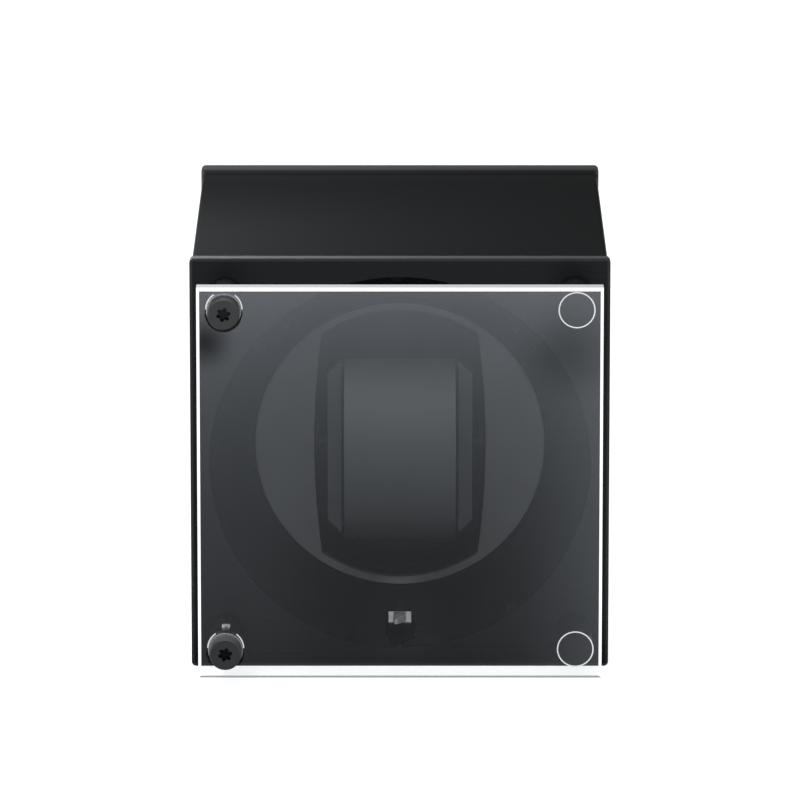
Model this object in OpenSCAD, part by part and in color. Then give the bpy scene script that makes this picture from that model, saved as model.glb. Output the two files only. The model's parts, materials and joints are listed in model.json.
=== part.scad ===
// Single watch winder box: square black metal case, clear hinged door, turning watch holder.
// The origin is at the bottom centre of the whole object. +Z is up and the door faces -Y.

/* [Case] */
// Width and height of the two square end plates
plate_w = 100; // [98:1:106]
// Thickness of each end plate
plate_t = 3; // [2.5:0.5:3.5]
// Front face of the front plate to back face of the rear plate
case_d = 114; // [113:1:125]
// Width of the tubular case between the plates
shell_w = 99.2; // [98:0.1:99.6]
// Height of the tubular case between the plates
shell_h = 97; // [96.5:0.1:98]
// Wall of the tubular case
shell_wall = 2; // [1.6:0.1:2.2]
// Radius of the round window in the front plate
window_r = 45.5; // [45:0.1:45.6]

/* [Funnel and rotor] */
// Inner radius of the funnel where it meets the rotor
throat_r = 35.2; // [35.2:0.1:36]
// Depth of the funnel from the front plate's face to the throat
funnel_d = 18.5; // [17:0.5:19]
// Outer radius of the rotor's visible face
rotor_r = 34.9; // [34.5:0.1:34.9]
// Depth of the rotor's face behind the front plate's face
rotor_face_d = 20.5; // [20:0.5:21]
// Radius of the two curved ends of the watch pocket
pocket_r = 33.1; // [32:0.1:33.2]
// Half width of the watch pocket at mid height
pocket_half_w = 20.7; // [20:0.1:21]
// Radius of the gentle bow of the pocket's sides
pocket_bow_r = 195; // [150:5:300]
// Depth of the pocket's floor behind the front plate's face
pocket_floor_d = 45; // [44:0.5:46]

/* [Watch holder] */
// Radius of the cushion that the watch strap goes round
cushion_r = 22; // [20:0.5:22.5]
// Width of the cushion's front pad
pad_w = 26.6; // [24:0.2:27]
// Width of the holder over its two side wings
holder_w = 34.8; // [33:0.2:35]
// Depth of the cushion's axis behind the front plate's face
cushion_axis_d = 17; // [16:0.5:17.5]
// How far the sprung pad can be squeezed in
pad_travel = 3; // [2:0.5:3]

/* [Door] */
// Width of the clear door panel
door_w = 95.6; // [94:0.2:98]
// Height of the clear door panel
door_h = 94.6; // [94:0.2:98]
// Thickness of the clear door panel
door_t = 5; // [4.5:0.5:5]
// Gap between the front plate's face and the back of the door panel
door_gap = 17.6; // [17.6:0.2:20]
// Distance of the hinge posts from the centre line
fitting_x = 41.4; // [41:0.05:42]
// Distance of the catch posts from the centre line
keeper_x = 41.65; // [41.5:0.05:42.5]
// Distance of the corner fittings from mid height, up and down
fitting_z = 41.2; // [40.5:0.1:41.5]
// Radius of the hinge posts
post_r = 3.95; // [3.8:0.05:4]

/* [Drive] */
// Teeth on the large gear behind the rotor
gear_teeth = 48; // [44:2:48]
// Teeth on the motor's pinion
pinion_teeth = 12; // [12:1:14]
// Tooth module of both gears
gear_module = 1; // [1:0.1:1]
// Direction of the motor from the rotor's axis, in degrees
motor_angle = -45; // [-50:1:-40]

/* [Output] */
// Node to draw, or all

/* [Hidden] */
$fn = 96;
eps = 0.01;
// the door screws' heads stand this far ahead of the front plate
head_reach = 24;
front_y = head_reach - (case_d + head_reach) / 2;
back_y = front_y + case_d;
mid_z = plate_w / 2;
// the door and its corner fittings sit a little high on the plate
fitting_mid = mid_z + 0.3;
door_back_y = front_y - door_gap;
door_front_y = door_back_y - door_t;
door_in_w = shell_w - 2 * shell_wall;
hinge_y = front_y - 12.6;
hinge_gap = 1.85;
panel_chamfer = 0.7;
keeper_r = 4.35;
keeper_t = 0.9;
wing_gap = 0.8;
pin_r = 1;
funnel_wall = 1.6;
switch_z = 8.3;
switch_y = front_y + 14;
slot_half = 1.5;
lever_x = -0.8;
chassis_y = front_y + 66;
chassis_t = 3;
column_xz = 35;
gear_r = gear_module * gear_teeth / 2;
pinion_r = gear_module * pinion_teeth / 2;
motor_c = gear_r + pinion_r;
motor_x = motor_c * cos(motor_angle);
motor_z = mid_z + motor_c * sin(motor_angle);
axis_y = front_y + cushion_axis_d;
guide_x = 9;
leg_z = 10;
drum_r = 38;
drum_front_y = front_y + 23;
drum_back_y = front_y + 58;
shaft_r = 4;
jack_x = -26;
jack_z = 24;
board_x = -29;
board_y = chassis_y + 9;

black_metal = [0.13, 0.135, 0.14];
black_plastic = [0.19, 0.195, 0.2];
holder_grey = [0.25, 0.26, 0.27];
steel = [0.72, 0.73, 0.74];
brass = [0.78, 0.63, 0.3];
clear = [0.85, 0.9, 0.92, 0.3];

// cylinder along +Y from y0 to y1, centred on x, z
module ycyl(x, z, y0, y1, r, r2 = -1) {
    translate([x, y1, z])
        rotate([90, 0, 0])
            cylinder(h = y1 - y0, r1 = r2 < 0 ? r : r2, r2 = r);
}

// box from one corner to the other
module span(a, b) {
    translate(a)
        cube(b - a);
}

// rectangular bar along Y with round corners
module rounded_bar(w, h, r, y0, y1) {
    span([-w / 2 + r, y0, mid_z - h / 2], [w / 2 - r, y1, mid_z + h / 2]);
    span([-w / 2, y0, mid_z - h / 2 + r], [w / 2, y1, mid_z + h / 2 - r]);
    for (sx = [-1, 1], sz = [-1, 1])
        ycyl(sx * (w / 2 - r), mid_z + sz * (h / 2 - r), y0, y1, r);
}

// puts its children at each of the four corner fittings
module at_fittings() {
    for (x = [-fitting_x, keeper_x], sz = [-1, 1])
        translate([x, 0, fitting_mid + sz * fitting_z])
            children();
}

// puts its children at each of the four columns
module at_columns() {
    for (sx = [-1, 1], sz = [-1, 1])
        translate([sx * column_xz, 0, mid_z + sz * column_xz])
            children();
}

// six-lobed driver recess, opening towards -Y
module star_recess(y0, y1, r) {
    ycyl(0, 0, y0 - eps, y1, r * 0.72);
    for (k = [0:5])
        ycyl(r * 0.72 * cos(60 * k + 15), r * 0.72 * sin(60 * k + 15), y0 - eps, y1, r * 0.28);
}

module body_shell() {
    y0 = front_y + plate_t;
    y1 = back_y - plate_t;
    inner_w = door_in_w;
    inner_h = shell_h - 2 * shell_wall;
    boss = 9;
    color(black_metal)
        difference() {
            union() {
                difference() {
                    rounded_bar(shell_w, shell_h, 1.2, y0, y1);
                    span([-inner_w / 2, y0 - 1, mid_z - inner_h / 2],
                         [inner_w / 2, y1 + 1, mid_z + inner_h / 2]);
                }
                for (sx = [-1, 1], sz = [-1, 1])
                    translate([sx * (shell_w / 2 - 1 - boss / 2), (y0 + y1) / 2,
                               mid_z + sz * (shell_h / 2 - 1 - boss / 2)])
                        cube([boss + 1.5, y1 - y0, boss], center = true);
            }
            at_fittings()
                ycyl(0, 0, y0 - 1, y1 + 1, 1.7);
        }
}

module front_plate() {
    color(black_metal)
        difference() {
            rounded_bar(plate_w, plate_w, 1.1, front_y, front_y + plate_t);
            ycyl(0, mid_z, front_y - 1, front_y + plate_t + 1, window_r);
            at_fittings()
                ycyl(0, 0, front_y - 1, front_y + plate_t + 1, 1.7);
            at_columns()
                ycyl(0, 0, front_y + 1, front_y + plate_t + 1, 1.3);
        }
}

module rear_plate() {
    y0 = back_y - plate_t;
    color(black_metal)
        difference() {
            rounded_bar(plate_w, plate_w, 1.1, y0, back_y);
            at_fittings() {
                ycyl(0, 0, y0 - 1, back_y + 1, 2.1);
                ycyl(0, 0, back_y - 2, back_y + eps, 2.1, 4.1);
            }
            ycyl(jack_x, jack_z, y0 - 1, back_y + 1, 4);
        }
}

module rear_screws() {
    color(steel)
        at_fittings()
            difference() {
                union() {
                    ycyl(0, 0, back_y - 2.1, back_y - 0.1, 1.6, 3.95);
                    ycyl(0, 0, back_y - 14, back_y - 2, 1.65);
                }
                mirror([0, 1, 0])
                    star_recess(-back_y + 0.1, -back_y + 1.6, 1.7);
            }
}

// funnel wall as a ring turned about the rotor's axis
module funnel_wall_ring() {
    y_lip = 0.2;
    translate([0, front_y, mid_z])
        rotate([-90, 0, 0])
            rotate_extrude($fn = 180)
                polygon([[window_r - 0.1, y_lip], [throat_r, funnel_d], [throat_r, funnel_d + 3],
                         [throat_r + funnel_wall, funnel_d + 3],
                         [throat_r + funnel_wall, funnel_d + 0.6],
                         [window_r + 0.6, plate_t + 1.6], [window_r + 0.6, plate_t + 0.05],
                         [window_r - 0.1, plate_t + 0.05]]);
}

module funnel() {
    y0 = front_y + plate_t + 0.05;
    color(black_plastic)
        difference() {
            union() {
                funnel_wall_ring();
                difference() {
                    union() {
                        for (a = [45:90:315])
                            translate([0, 0, mid_z])
                                rotate([0, a, 0])
                                    span([40, y0, -3.2], [column_xz * sqrt(2) + 3.2, y0 + 2, 3.2]);
                        ycyl(0, switch_z, y0, switch_y + 1.4, 5.3);
                    }
                    translate([0, front_y, mid_z])
                        rotate([-90, 0, 0])
                            cylinder(h = funnel_d, r1 = window_r - 0.1, r2 = throat_r, $fn = 180);
                    span([-8, y0 - 1, 0], [8, switch_y + 3, 3.7]);
                }
            }
            ycyl(0, switch_z, front_y - 1, switch_y, 3.75);
            span([-2.75, switch_y - 1, switch_z - 1.55], [2.75, switch_y + 2, switch_z + 1.55]);
            at_columns()
                ycyl(0, 0, front_y, y0 + 3, 1.35);
        }
}

module spacer_columns() {
    y0 = front_y + plate_t + 2.1;
    color(steel)
        at_columns() {
            difference() {
                ycyl(0, 0, y0, chassis_y, 3);
                ycyl(0, 0, chassis_y - 8, chassis_y + 1, 1.3);
            }
            ycyl(0, 0, front_y + 1.2, y0 + eps, 1.2);
        }
}

module chassis_plate() {
    w = 92;
    h = 90;
    cut = 12.5;
    color(steel)
        difference() {
            union() {
                difference() {
                    span([-w / 2, chassis_y, mid_z - h / 2],
                         [w / 2, chassis_y + chassis_t, mid_z + h / 2]);
                    for (sx = [-1, 1], sz = [-1, 1])
                        translate([sx * w / 2, chassis_y, mid_z + sz * h / 2])
                            cube([2 * (cut - 1.5), 20, 2 * (cut - 3.5)], center = true);
                }
                ycyl(0, mid_z, chassis_y, chassis_y + 11, 9);
            }
            span([-2, chassis_y - 1, 0], [12, chassis_y + 4, 9]);
            ycyl(0, mid_z, chassis_y - 1, chassis_y + 12, 6.5);
            ycyl(motor_x, motor_z, chassis_y - 1, chassis_y + 4, 4.2);
            at_columns()
                ycyl(0, 0, chassis_y - 1, chassis_y + 4, 1.4);
            for (s = [-1, 1])
                translate([motor_x, 0, motor_z])
                    rotate([0, -motor_angle, 0])
                        translate([0, 0, 8.5 * s]) {
                            ycyl(0, 0, chassis_y - 1, chassis_y + 4, 1.6);
                            ycyl(0, 0, chassis_y - eps, chassis_y + 1.5, 3, 1.6);
                        }
        }
}

module chassis_screws() {
    color(steel)
        at_columns()
            difference() {
                union() {
                    ycyl(0, 0, chassis_y + chassis_t, chassis_y + chassis_t + 2, 2.5);
                    ycyl(0, 0, chassis_y - 6, chassis_y + chassis_t + eps, 1.25);
                }
                mirror([0, 1, 0])
                    star_recess(-chassis_y - chassis_t - 2, -chassis_y - chassis_t - 0.8, 1.2);
            }
}

module shaft_bushing() {
    color(brass)
        difference() {
            union() {
                ycyl(0, mid_z, chassis_y - 1, chassis_y + 11, 6.5);
                ycyl(0, mid_z, chassis_y - 1, chassis_y - eps, 8);
            }
            ycyl(0, mid_z, chassis_y - 2, chassis_y + 12, shaft_r + 0.05);
        }
}

// post with a fork at its front end, and a stud that goes into the case
module hinge_post(z) {
    x = -fitting_x;
    difference() {
        union() {
            intersection() {
                ycyl(x, z, hinge_y - 5, front_y, post_r);
                union() {
                    translate([x, hinge_y, z - 6])
                        cylinder(h = 12, r = post_r);
                    span([x - 6, hinge_y, z - 6], [x + 6, front_y, z + 6]);
                }
            }
            ycyl(x, z, front_y - eps, front_y + 14, 1.65);
        }
        span([x - 6, hinge_y - 6, z - hinge_gap], [x + 6, hinge_y + 4.4, z + hinge_gap]);
        translate([x, hinge_y, z - 6])
            cylinder(h = 12, r = pin_r);
    }
}

module hinge_post_upper() {
    color(black_metal)
        hinge_post(fitting_mid + fitting_z);
}

module hinge_post_lower() {
    color(black_metal)
        hinge_post(fitting_mid - fitting_z);
}

module hinge_pin(z) {
    translate([-fitting_x, hinge_y, z - 4.4])
        cylinder(h = 8.8, r = pin_r);
}

module hinge_pin_upper() {
    color(steel)
        hinge_pin(fitting_mid + fitting_z);
}

module hinge_pin_lower() {
    color(steel)
        hinge_pin(fitting_mid - fitting_z);
}

module catch_post(z) {
    y0 = door_back_y + 0.4;
    difference() {
        union() {
            ycyl(keeper_x, z, y0, front_y, 4.2);
            ycyl(keeper_x, z, front_y - eps, front_y + 14, 1.65);
        }
        ycyl(keeper_x, z, y0 - 1, y0 + 3, 3.05);
    }
}

module catch_post_upper() {
    color(black_metal)
        catch_post(fitting_mid + fitting_z);
}

module catch_post_lower() {
    color(black_metal)
        catch_post(fitting_mid - fitting_z);
}

module catch_magnets() {
    color(steel)
        for (s = [-1, 1])
            ycyl(keeper_x, fitting_mid + s * fitting_z, door_back_y + 0.45, door_back_y + 3.35, 3);
}

module switch_plate() {
    y0 = switch_y + 1.45;
    color(steel)
        difference() {
            span([-5, y0, switch_z - 2.4], [5, y0 + 0.4, switch_z + 2.4]);
            span([-slot_half, y0 - 1, switch_z - 1.25], [slot_half, y0 + 2, switch_z + 1.25]);
        }
}

module switch_body() {
    y0 = switch_y + 1.9;
    color(black_plastic)
        difference() {
            span([-4.6, y0, switch_z - 2.4], [4.6, y0 + 4, switch_z + 2.4]);
            span([-3.3, y0 - 1, switch_z - 1.6], [3.3, y0 + 2.6, switch_z + 1.6]);
        }
}

module switch_lever() {
    y0 = switch_y - 4.2;
    y1 = switch_y + 2;
    left = lever_x - 0.55;
    color(steel)
        union() {
            hull() {
                span([left, y0, switch_z - 0.6], [left + 0.8, y0 + 0.3, switch_z + 0.9]);
                span([left, switch_y - 1, switch_z - 0.9], [left + 2.5, switch_y + 1.3, switch_z + 0.9]);
            }
            span([left, switch_y + 1, switch_z - 0.9], [left + 1.35, y1 + 0.5, switch_z + 0.9]);
            span([lever_x - 2.3, y1, switch_z - 1.4], [lever_x + 2.3, y1 + 2.2, switch_z + 1.4]);
        }
}

module gearbox() {
    y0 = chassis_y + chassis_t;
    color(steel)
        difference() {
            union() {
                ycyl(motor_x, motor_z, y0, y0 + 20, 12.5);
                ycyl(motor_x, motor_z, y0 - 2, y0 + eps, 3.5);
            }
            ycyl(motor_x, motor_z, y0 - 3, y0 + 8, 2.05);
            for (s = [-1, 1])
                translate([motor_x, 0, motor_z])
                    rotate([0, -motor_angle, 0])
                        ycyl(0, 8.5 * s, y0 - 1, y0 + 5, 1.55);
        }
}

module motor_can() {
    y0 = chassis_y + chassis_t + 20;
    color(steel)
        intersection() {
            union() {
                ycyl(motor_x, motor_z, y0, y0 + 17, 12);
                ycyl(motor_x, motor_z, y0 + 17 - eps, y0 + 18.5, 4);
            }
            translate([motor_x, y0 + 10, motor_z])
                cube([30, 30, 20], center = true);
        }
}

module motor_terminals() {
    y0 = chassis_y + chassis_t + 37;
    color(brass)
        for (s = [-1, 1])
            translate([motor_x + s * 7, y0 + 1.75, motor_z])
                cube([2.4, 3.5, 0.6], center = true);
}

module motor_screws() {
    color(steel)
        for (s = [-1, 1])
            translate([motor_x, 0, motor_z])
                rotate([0, -motor_angle, 0])
                    translate([0, 0, 8.5 * s])
                        difference() {
                            union() {
                                ycyl(0, 0, chassis_y + 0.1, chassis_y + 1.5, 2.8, 1.5);
                                ycyl(0, 0, chassis_y + 1.4, chassis_y + 7, 1.5);
                            }
                            star_recess(chassis_y + 0.1, chassis_y + 1, 1.1);
                        }
}

module motor_shaft() {
    color(steel)
        ycyl(motor_x, motor_z, chassis_y - 7.4, chassis_y + 10, 2);
}

// involute tooth flank point at roll angle t, for base radius rb
function flank(rb, t) = let (k = t * PI / 180)
    [rb * (cos(t) + k * sin(t)), rb * (sin(t) - k * cos(t))];

// roll angle at which the flank reaches radius r
function roll(rb, r) = r <= rb ? 0 : sqrt(pow(r / rb, 2) - 1) * 180 / PI;

function turn(p, a) = [p[0] * cos(a) - p[1] * sin(a), p[0] * sin(a) + p[1] * cos(a)];

// outline of one gear tooth centred on +X, root to tip and back
function tooth(m, n, slack) = let (
    rp = m * n / 2,
    rb = rp * cos(25),
    ra = rp + 0.9 * m,
    rr = rp - 1.2 * m,
    tp = roll(rb, rp),
    half = 90 / n - slack / 2 / rp * 180 / PI,
    off = half + atan2(flank(rb, tp)[1], flank(rb, tp)[0]),
    t0 = roll(rb, rr),
    steps = 3,
    root = rr < rb ? [turn([rr, 0], -off)] : [],
    lower = [for (i = [0:steps]) turn(flank(rb, t0 + (roll(rb, ra) - t0) * i / steps), -off)],
    upper = [for (i = [steps:-1:0]) [lower[i][0], -lower[i][1]]])
    concat([turn([rr, 0], -180 / n)], root, lower, upper,
           [for (p = root) [p[0], -p[1]]]);

module gear_blank(m, n, slack, y0, y1, a0) {
    translate([0, y1, 0])
        rotate([90, 0, 0])
            linear_extrude(height = y1 - y0)
                polygon([for (k = [0:n - 1], p = tooth(m, n, slack)) turn(p, k * 360 / n + a0)]);
}

module drive_pinion() {
    color(brass)
        difference() {
            translate([motor_x, 0, motor_z])
                gear_blank(gear_module, pinion_teeth, 0.2, chassis_y - 7, chassis_y - 2.5,
                           180 + motor_angle + 180 / pinion_teeth);
            ycyl(motor_x, motor_z, chassis_y - 8, chassis_y - 2, 2);
        }
}

module rotor_gear() {
    color([0.85, 0.85, 0.82])
        difference() {
            union() {
                translate([0, 0, mid_z])
                    gear_blank(gear_module, gear_teeth, 0.2, drum_back_y + 1, chassis_y - 2.8,
                               motor_angle);
                ycyl(0, mid_z, drum_back_y, chassis_y - 2.8, 16);
            }
            ycyl(0, mid_z, drum_back_y - 1, chassis_y, shaft_r);
            for (a = [0:60:300])
                translate([0, 0, mid_z])
                    rotate([0, a, 0])
                        ycyl(19.2, 0, drum_back_y, chassis_y, 2.2);
            for (a = [60:120:300])
                translate([0, 0, mid_z])
                    rotate([0, a, 0])
                        ycyl(12, 0, drum_back_y - 1, chassis_y, 1.3);
        }
}

module rotor_shaft() {
    color(steel) {
        ycyl(0, mid_z, front_y + pocket_floor_d + 3, chassis_y + 14, shaft_r);
        ycyl(0, mid_z, chassis_y + 14 - eps, chassis_y + 14.5, shaft_r, shaft_r - 0.5);
    }
}

module shaft_collar() {
    y0 = chassis_y + 11.4;
    color(steel)
        difference() {
            ycyl(0, mid_z, y0, y0 + 2.4, 7);
            ycyl(0, mid_z, y0 - 1, y0 + 3, shaft_r);
            translate([0, y0 + 1.2, mid_z])
                cylinder(h = 9, r = 0.7);
        }
}

// solid with the pocket's outline grown by g, between y0 and y1
module pocket_form(g, y0, y1) {
    shift = pocket_bow_r - pocket_half_w;
    intersection() {
        ycyl(0, mid_z, y0, y1, pocket_r + g);
        ycyl(shift, mid_z, y0, y1, pocket_bow_r + g, -1, $fn = 360);
        ycyl(-shift, mid_z, y0, y1, pocket_bow_r + g, -1, $fn = 360);
    }
}

module rotor_pocket() {
    y0 = front_y + rotor_face_d;
    y1 = front_y + pocket_floor_d;
    color(black_plastic)
        difference() {
            union() {
                ycyl(0, mid_z, y0, drum_front_y, rotor_r);
                ycyl(0, mid_z, drum_front_y - eps, drum_front_y + 1.5, 36.2);
                pocket_form(1.6, drum_front_y, y1 + 1.6);
                for (a = [60:120:300])
                    translate([0, 0, mid_z])
                        rotate([0, a, 0])
                            ycyl(12, 0, y1, drum_back_y - 2, 3);
                ycyl(0, mid_z, y1, y1 + 8, 6.5);
            }
            pocket_form(0, y0 - 1, y1);
            ycyl(0, mid_z, y1 + 3, y1 + 9, shaft_r);
            for (a = [60:120:300])
                translate([0, 0, mid_z])
                    rotate([0, a, 0])
                        ycyl(12, 0, drum_back_y - 9, drum_back_y, 1.25);
            for (s = [-1, 1])
                ycyl(s * guide_x, mid_z, y1 - 1, y1 + 2, 1.5);
        }
}

module rotor_drum() {
    color(black_plastic)
        difference() {
            ycyl(0, mid_z, drum_front_y, drum_back_y, drum_r);
            ycyl(0, mid_z, drum_front_y - 1, drum_back_y - 2, drum_r - 1.7);
            ycyl(0, mid_z, drum_back_y - 3, drum_back_y + 1, shaft_r);
            for (a = [60:120:300])
                translate([0, 0, mid_z])
                    rotate([0, a, 0])
                        ycyl(12, 0, drum_back_y - 3, drum_back_y + 1, 1.4);
        }
}

module rotor_screws() {
    y1 = drum_back_y + 5.2;
    color(steel)
        for (a = [60:120:300])
            translate([0, 0, mid_z])
                rotate([0, a, 0]) {
                    ycyl(12, 0, drum_back_y - 8, y1 + 0.5, 1.2);
                    ycyl(12, 0, y1, y1 + 1.2, 2.3);
                }
}

module guide_rods() {
    y1 = front_y + pocket_floor_d;
    color(steel)
        for (s = [-1, 1])
            ycyl(s * guide_x, mid_z, y1 - 19, y1 + 1.5, 1.5);
}

module pocket_clips() {
    y0 = front_y + 27;
    color(steel)
        for (s = [-1, 1]) {
            translate([s * (pocket_half_w - 0.6), y0 + 5, mid_z])
                cube([0.6, 10, 7], center = true);
            translate([s * (pocket_half_w - 0.9), y0 + 7, mid_z - 3])
                cylinder(h = 6, r = 0.55, $fn = 48);
        }
}

// rear half of the round cushion, with its two flat-fronted wings
module holder_frame() {
    half = holder_w / 2;
    wing = half - pad_w / 2 - wing_gap;
    r = cushion_r - 1;
    web_y = axis_y + pad_travel + 1;
    cut = 3;
    color(holder_grey)
        difference() {
            union() {
                intersection() {
                    translate([-half, axis_y, mid_z])
                        rotate([0, 90, 0])
                            cylinder(h = holder_w, r = r);
                    translate([0, axis_y + 30, mid_z])
                        rotate([90, 0, 0])
                            linear_extrude(height = 30)
                                polygon([[half, cut - r], [half, r - cut], [half - cut, r],
                                         [cut - half, r], [-half, r - cut], [-half, cut - r],
                                         [cut - half, -r], [half - cut, -r]]);
                }
                for (s = [-1, 1])
                    ycyl(s * guide_x, mid_z, axis_y + 12, front_y + pocket_floor_d - 0.4, 3.2);
            }
            difference() {
                translate([-half + wing, axis_y, mid_z])
                    rotate([0, 90, 0])
                        cylinder(h = holder_w - 2 * wing, r = r - 2);
                span([-half, web_y, mid_z - 17], [half, web_y + 2, mid_z + 17]);
                for (s = [-1, 1])
                    ycyl(s * guide_x, mid_z, web_y + 1, axis_y + 22, 3.2);
            }
            span([-half + wing, axis_y - 1, 0], [half - wing, web_y, plate_w]);
            for (s = [-1, 1]) {
                ycyl(0, mid_z + s * leg_z, web_y - 1, web_y + 4, 2.06);
                ycyl(s * guide_x, mid_z, axis_y, front_y + pocket_floor_d + 1, 1.58);
            }
            for (s = [-1, 1])
                translate([s * half, axis_y + 6.5, mid_z])
                    rotate([0, 90, 0])
                        cylinder(h = 6, r = 1.3, center = true);
        }
}

module holder_studs() {
    color(steel)
        for (s = [-1, 1])
            translate([s * (holder_w / 2 + 0.2), axis_y + 6.5, mid_z])
                rotate([0, 90, 0])
                    cylinder(h = 5, r = 1.3, center = true);
}

// front half of the round cushion
module holder_pad() {
    color(holder_grey)
        difference() {
            intersection() {
                translate([-pad_w / 2, axis_y, mid_z])
                    rotate([0, 90, 0])
                        cylinder(h = pad_w, r = cushion_r);
                span([-pad_w / 2, axis_y - 30, 0], [pad_w / 2, axis_y, plate_w]);
            }
            intersection() {
                translate([-pad_w / 2 + 2, axis_y, mid_z])
                    rotate([0, 90, 0])
                        cylinder(h = pad_w - 4, r = cushion_r - 2);
                span([-pad_w / 2, axis_y - 18, 0], [pad_w / 2, axis_y + 1, plate_w]);
            }
            for (s = [-1, 1])
                ycyl(0, mid_z + s * leg_z, axis_y - 18.2, axis_y, 2);
        }
}

// two round legs that keep the pad square as it is squeezed in
module pad_guides() {
    color(holder_grey)
        for (s = [-1, 1])
            ycyl(0, mid_z + s * leg_z, axis_y - 18.2, axis_y + 9, 2);
}

// helix of round wire about +Y from the origin, n rings with k sides each
module coil(r, wire_r, h, turns, n = 60, k = 6) {
    rings = [for (i = [0:n], j = [0:k - 1])
        let (a = 360 * turns * i / n, b = 360 * j / k, q = r + wire_r * cos(b))
            [q * cos(a), h * i / n + wire_r * sin(b), q * sin(a)]];
    sides = [for (i = [0:n - 1], j = [0:k - 1])
        [i * k + j, i * k + (j + 1) % k, (i + 1) * k + (j + 1) % k, (i + 1) * k + j]];
    polyhedron(rings, concat(sides, [[for (j = [k - 1:-1:0]) j]], [[for (j = [0:k - 1]) n * k + j]]));
}

// coil springs round the legs, between the pad's front wall and the frame's web
module pad_springs() {
    y0 = axis_y - 14.2;
    y1 = axis_y + pad_travel + 0.5;
    color(steel)
        for (s = [-1, 1])
            translate([0, y0, mid_z + s * leg_z])
                coil(2.9, 0.4, y1 - y0, 5);
}

module circuit_board() {
    color([0.06, 0.3, 0.16])
        difference() {
            span([board_x - 14, board_y, 22], [board_x + 14, board_y + 1.6, 76]);
            for (sx = [-1, 1], sz = [-1, 1])
                ycyl(board_x + 11 * sx, 49 + 24 * sz, board_y - 1, board_y + 3, 1.4);
        }
}

module board_components() {
    y0 = board_y + 1.6;
    color([0.12, 0.12, 0.13])
        union() {
            span([board_x - 5, y0, 50], [board_x + 5, y0 + 1.8, 60]);
            span([board_x - 8, y0, 32], [board_x - 4, y0 + 2.4, 37]);
            ycyl(board_x + 5, 36, y0, y0 + 9, 3.2);
            ycyl(board_x - 6, 43.5, y0, y0 + 7, 2.5);
            span([board_x + 5, y0, 42], [board_x + 11, y0 + 5, 47.5]);
            span([board_x - 4, y0, 65], [board_x + 4, y0 + 5, 70]);
        }
}

module board_standoffs() {
    color(brass)
        for (sx = [-1, 1], sz = [-1, 1]) {
            ycyl(board_x + 11 * sx, 49 + 24 * sz, chassis_y + chassis_t, board_y, 2.4);
            ycyl(board_x + 11 * sx, 49 + 24 * sz, board_y - eps, board_y + 1.6, 1.3);
            ycyl(board_x + 11 * sx, 49 + 24 * sz, board_y + 1.6, board_y + 3, 2.3);
        }
}

module power_jack() {
    color(black_plastic)
        union() {
            difference() {
                union() {
                    ycyl(jack_x, jack_z, back_y - 12, back_y - 0.1, 3.9);
                    ycyl(jack_x, jack_z, back_y - 16, back_y - 5.5, 5.5);
                }
                ycyl(jack_x, jack_z, back_y - 10, back_y + 1, 2.8);
            }
            ycyl(jack_x, jack_z, back_y - 11, back_y - 1.5, 1);
        }
}

module jack_nut() {
    color(steel)
        translate([jack_x, back_y - plate_t, jack_z])
            rotate([90, 0, 0])
                difference() {
                    cylinder(h = 2, r = 6, $fn = 6);
                    translate([0, 0, -1])
                        cylinder(h = 4, r = 3.92);
                }
}

function unit(v) = v / norm(v);

// direction of the path at point i
function heading(p, i) = let (n = len(p) - 1)
    unit((i < n ? unit(p[i + 1] - p[i]) : [0, 0, 0]) + (i > 0 ? unit(p[i] - p[i - 1]) : [0, 0, 0]));

// round wire through the listed points, as a tube with k sides
module wire(points, r, k = 10) {
    n = len(points) - 1;
    rings = [for (i = [0:n], j = [0:k - 1])
        let (t = heading(points, i), u = unit(cross(t, [0.95, 0.1, 0.3])), a = 360 * j / k)
            points[i] + r * (cos(a) * u + sin(a) * cross(t, u))];
    sides = [for (i = [0:k:(n - 1) * k], j = [0:k - 1])
        [i + j, i + k + j, i + k + (j + 1) % k, i + (j + 1) % k]];
    polyhedron(rings, concat(sides, [[for (j = [0:k - 1]) j]],
                             [[for (j = [k - 1:-1:0]) n * k + j]]));
}

module wiring() {
    plug_y = board_y + 7.3;
    motor_y = chassis_y + chassis_t + 40;
    color([0.6, 0.12, 0.1])
        union() {
            for (s = [-1, 1])
                wire([[board_x + 8 + s, plug_y, 44.7 + s], [board_x + 14, plug_y + 8, 40 + s],
                      [0, motor_y, 34 + 2 * s], [motor_x + 7 * s, motor_y, motor_z + 0.95]], 0.6);
            for (s = [-1, 1])
                wire([[board_x + 2 * s, plug_y, 67], [board_x - 8 + s, plug_y + 6, 56],
                      [board_x - 8 + s, plug_y + 9, 40],
                      [jack_x + 2 * s, back_y - 16.7, jack_z + 2]], 0.6);
            for (s = [-1, 1])
                wire([[s * 1.5, switch_y + 6.6, switch_z - 0.8], [s * 1.5 + 5, switch_y + 14, 6],
                      [s * 1.5 + 5, chassis_y + 6, 6],
                      [board_x + 4 + 2 * s, board_y + 7, 18], [board_x - 6, plug_y - 2.5, 33 + s]], 0.6);
        }
}

// flat slab between y0 and y1 with a chamfer c round both faces
module chamfered_slab(w, h, y0, y1, c) {
    rings = [[w / 2 - c, h / 2 - c, y0], [w / 2, h / 2, y0 + c],
             [w / 2, h / 2, y1 - c], [w / 2 - c, h / 2 - c, y1]];
    corners = [[-1, -1], [1, -1], [1, 1], [-1, 1]];
    sides = [for (i = [0:4:8], j = [0:3])
        [i + j, i + (j + 1) % 4, i + 4 + (j + 1) % 4, i + 4 + j]];
    translate([0, 0, fitting_mid])
        polyhedron([for (g = rings, q = corners) [q[0] * g[0], g[2], q[1] * g[1]]],
                   concat(sides, [[3, 2, 1, 0], [12, 13, 14, 15]]));
}

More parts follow.
